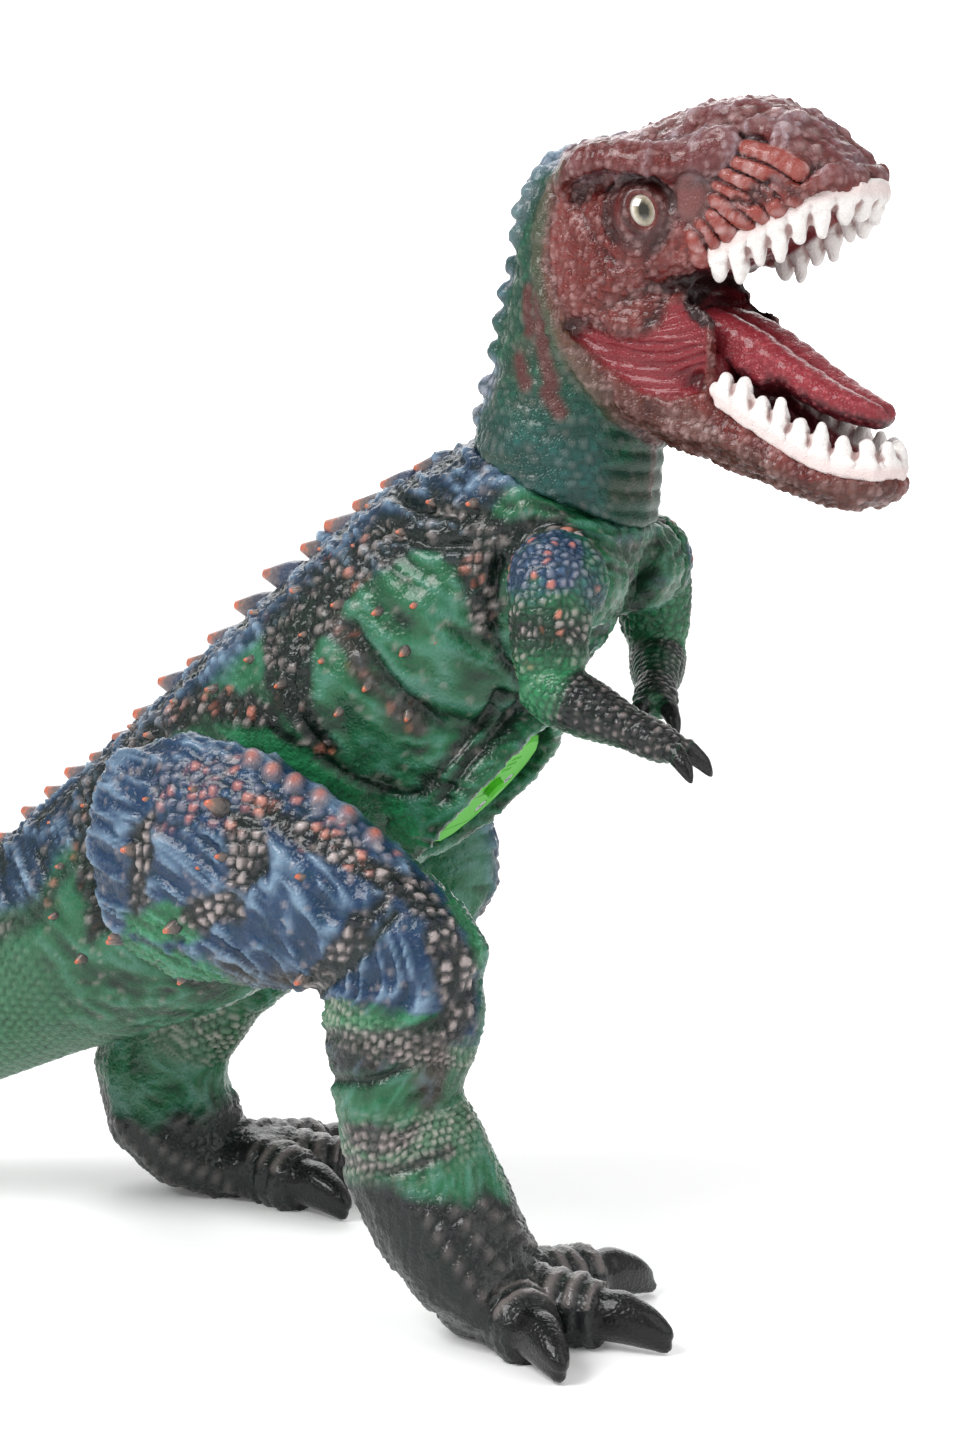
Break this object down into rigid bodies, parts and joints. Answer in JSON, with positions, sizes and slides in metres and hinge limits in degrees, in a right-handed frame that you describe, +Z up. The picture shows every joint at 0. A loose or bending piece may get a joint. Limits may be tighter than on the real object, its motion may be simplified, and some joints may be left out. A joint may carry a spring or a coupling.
{
  "type": "toy dinosaur figure",
  "caption": "Standing toy tyrannosaur in hollow painted vinyl with swivelling neck, arms and legs, an open toothed mouth and a push-button sound box in its belly.",
  "frame": {"origin": "centre of the whole figure's footprint box on the floor", "axes": "+X forwards along the figure's length, +Y to its left, +Z up"},
  "size_m": [0.4876, 0.191, 0.3372],
  "materials": {
    "body_vinyl": "glossy hand-painted soft vinyl, green with blue back and dark scales",
    "head_vinyl": "glossy hand-painted soft vinyl, brown-red with silver dry-brush",
    "tooth_vinyl": "semi-gloss white vinyl",
    "tongue_vinyl": "glossy red vinyl",
    "eye_plastic": "polished cream eye with a dark pupil",
    "black_plastic": "moulded black plastic",
    "lime_plastic": "bright lime moulded plastic",
    "board_laminate": "green circuit laminate",
    "bare_steel": "plated steel"
  },
  "bodies": {
    "torso": {"torso_skin": "body_vinyl", "sound_box_bezel": "lime_plastic", "sound_box_cup": "black_plastic", "battery_door": "lime_plastic", "battery_door_screw": "bare_steel", "right_bezel_screw": "bare_steel", "left_bezel_screw": "bare_steel", "roar_button_spring": "bare_steel", "circuit_board": "board_laminate", "speaker": "black_plastic", "speaker_magnet": "bare_steel", "button_cell_1": "bare_steel", "button_cell_2": "bare_steel", "button_cell_3": "bare_steel", "lower_contact_plate": "bare_steel", "upper_contact_plate": "bare_steel"},
    "head": {"head_skin": "head_vinyl", "upper_teeth": "tooth_vinyl", "lower_teeth": "tooth_vinyl", "tongue": "tongue_vinyl", "right_eye": "eye_plastic", "left_eye": "eye_plastic", "neck_plug": "black_plastic"},
    "right_arm": {"right_arm_skin": "body_vinyl", "right_shoulder_plug": "black_plastic"},
    "left_arm": {"left_arm_skin": "body_vinyl", "left_shoulder_plug": "black_plastic"},
    "right_leg": {"right_leg_skin": "body_vinyl", "right_hip_plug": "black_plastic"},
    "left_leg": {"left_leg_skin": "body_vinyl", "left_hip_plug": "black_plastic"},
    "button": {"roar_button": "lime_plastic"}
  },
  "joints": [
    {"name": "neck_turn", "type": "hinge", "parent": "torso", "child": "head", "pos_m": [0.13984, -0.00781, 0.232], "axis": [0.4226, 0, 0.9063], "range_deg": [-40, 40]},
    {"name": "right_shoulder", "type": "hinge", "parent": "torso", "child": "right_arm", "pos_m": [0.15134, -0.03981, 0.208], "axis": [0, 1, 0], "range_deg": [-60, 40]},
    {"name": "left_shoulder", "type": "hinge", "parent": "torso", "child": "left_arm", "pos_m": [0.15134, 0.02419, 0.208], "axis": [0, 1, 0], "range_deg": [-60, 10]},
    {"name": "right_hip", "type": "hinge", "parent": "torso", "child": "right_leg", "pos_m": [0.05234, -0.03781, 0.122], "axis": [0, 1, 0], "range_deg": [-30, 30]},
    {"name": "left_hip", "type": "hinge", "parent": "torso", "child": "left_leg", "pos_m": [0.05234, 0.02219, 0.122], "axis": [0, 1, 0], "range_deg": [-30, 30]},
    {"name": "roar_button_press", "type": "slide", "parent": "torso", "child": "button", "axis": [-0.7314, 0, 0.682], "range_m": [0, 0.002], "stiffness_N_per_m": 400, "springref_m": -0.001, "deforming": ["roar_button_spring"]}
  ]
}
